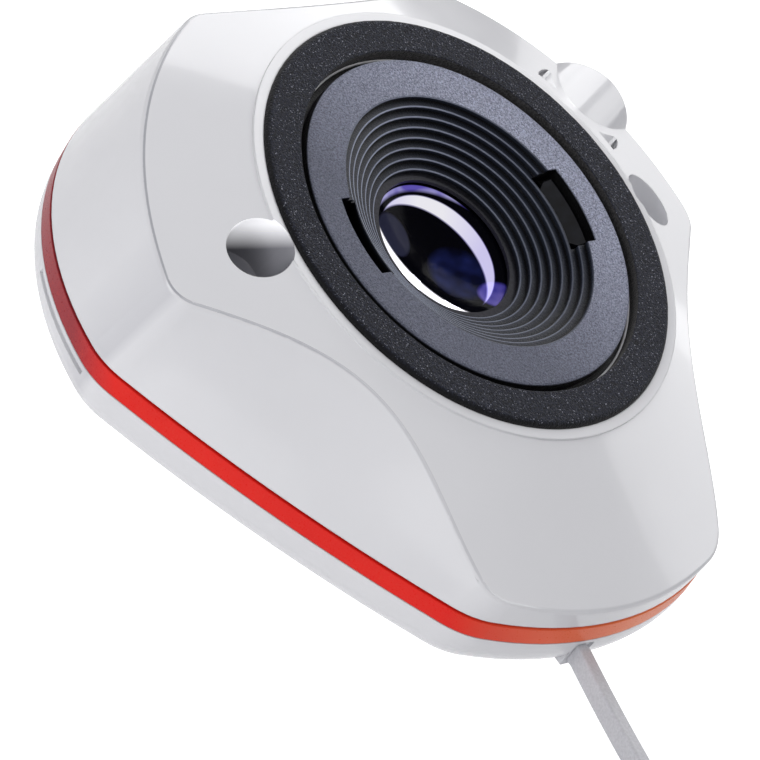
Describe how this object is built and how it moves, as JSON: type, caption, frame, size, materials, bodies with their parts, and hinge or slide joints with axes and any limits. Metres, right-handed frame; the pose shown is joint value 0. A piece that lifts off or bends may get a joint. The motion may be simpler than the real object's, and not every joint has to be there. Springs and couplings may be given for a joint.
{
  "type": "display colorimeter",
  "caption": "Three-cornered display colour sensor: lensed stepped baffle with a foam contact ring, two-part white housing with a trim band, tilted front and a flat USB cable.",
  "frame": {"origin": "centre of the three-cornered outline on the flat back", "axes": "+Z out of the front, square to the flat back; -Y towards the corner that the cable leaves by; +X towards the corner with the latch boss"},
  "size_m": [0.0728, 0.1522, 0.0281],
  "materials": {
    "white_gloss": "high gloss moulded, cool white",
    "red_band": "satin red",
    "contact_foam": "open fine-celled black foam",
    "baffle_black": "spark-eroded blue-black",
    "moulded_black": "smooth black",
    "coated_glass": "violet anti-reflection coating",
    "filter_glass": "polished, faint cyan",
    "black_anodised": "matt black anodised",
    "screw_steel": "zinc plated",
    "plug_steel": "nickel plated",
    "insert_brass": "turned",
    "contact_gilt": "gilt",
    "board_laminate": "solder mask",
    "chip_epoxy": "moulding compound",
    "diffuser_white": "opal diffusing",
    "grey_elastomer": "fine matt",
    "cable_jacket": "matt pale grey",
    "wire_insulation": "extruded",
    "header_nylon": "natural nylon",
    "plug_tongue": "white"
  },
  "bodies": {
    "puck": {"front_shell": "white_gloss", "rear_shell": "white_gloss", "trim_band": "red_band", "contact_gasket": "contact_foam", "shroud_seal": "contact_foam", "baffle_plate": "baffle_black", "lens_barrel": "moulded_black", "sensor_shroud": "moulded_black", "lens_retainer": "black_anodised", "aperture_stop": "black_anodised", "front_lens": "coated_glass", "rear_lens": "coated_glass", "colour_filter": "filter_glass", "housing_screws": "screw_steel", "insert_screws": "screw_steel", "board_screws": "screw_steel", "tripod_insert": "insert_brass", "main_board": "board_laminate", "sensor_chip": "chip_epoxy", "controller_chip": "chip_epoxy", "board_components": "chip_epoxy", "ambient_sensor": "chip_epoxy", "light_window": "diffuser_white", "cable_grommet": "grey_elastomer", "cable_entry": "cable_jacket", "cable_wires": "wire_insulation", "wire_header": "header_nylon"},
    "cable": {"usb_cable": "cable_jacket"},
    "plug": {"usb_plug_grip": "grey_elastomer", "usb_plug_shell": "plug_steel", "usb_plug_insert": "plug_tongue", "usb_contacts": "contact_gilt"}
  },
  "joints": [
    {"name": "cable_bend", "type": "hinge", "parent": "puck", "child": "cable", "pos_m": [-0.0018, -0.03705, 0.003], "axis": [0, 0, 1], "range_deg": [-35, 35]},
    {"name": "plug_bend", "type": "hinge", "parent": "cable", "child": "plug", "pos_m": [-0.00715, -0.0806, 0.003], "axis": [0, 0, 1], "range_deg": [-35, 35]}
  ]
}
